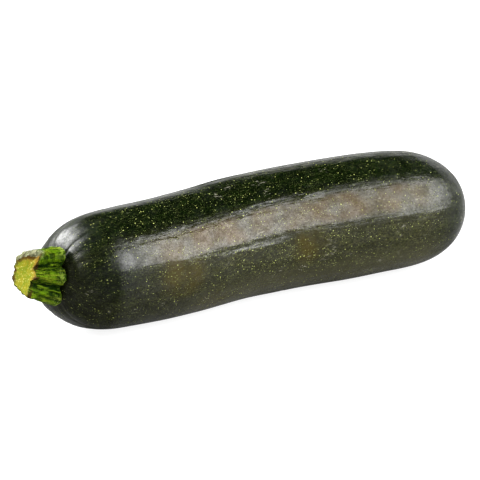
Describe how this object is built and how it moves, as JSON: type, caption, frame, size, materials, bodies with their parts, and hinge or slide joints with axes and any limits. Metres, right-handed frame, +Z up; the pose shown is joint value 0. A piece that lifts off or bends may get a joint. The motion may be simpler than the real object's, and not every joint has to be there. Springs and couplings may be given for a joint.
{
  "type": "courgette",
  "caption": "Whole courgette lying on its side: a long, slightly bowed, faintly ribbed dark green fruit with the cut, ridged stub of its stem still on.",
  "frame": {"origin": "middle of the whole part's box, at its bottom, which is the height of the flat spot that the fruit lies on", "axes": "+X from the stem end to the blossom end, +Z up, +Y completes the right-handed frame; the fruit's middle bows a little to +Y"},
  "size_m": [0.1976, 0.0508, 0.0472],
  "materials": {
    "skin": null,
    "stem": null
  },
  "bodies": {
    "root": {"fruit": "skin", "stem": "stem"}
  },
  "joints": []
}
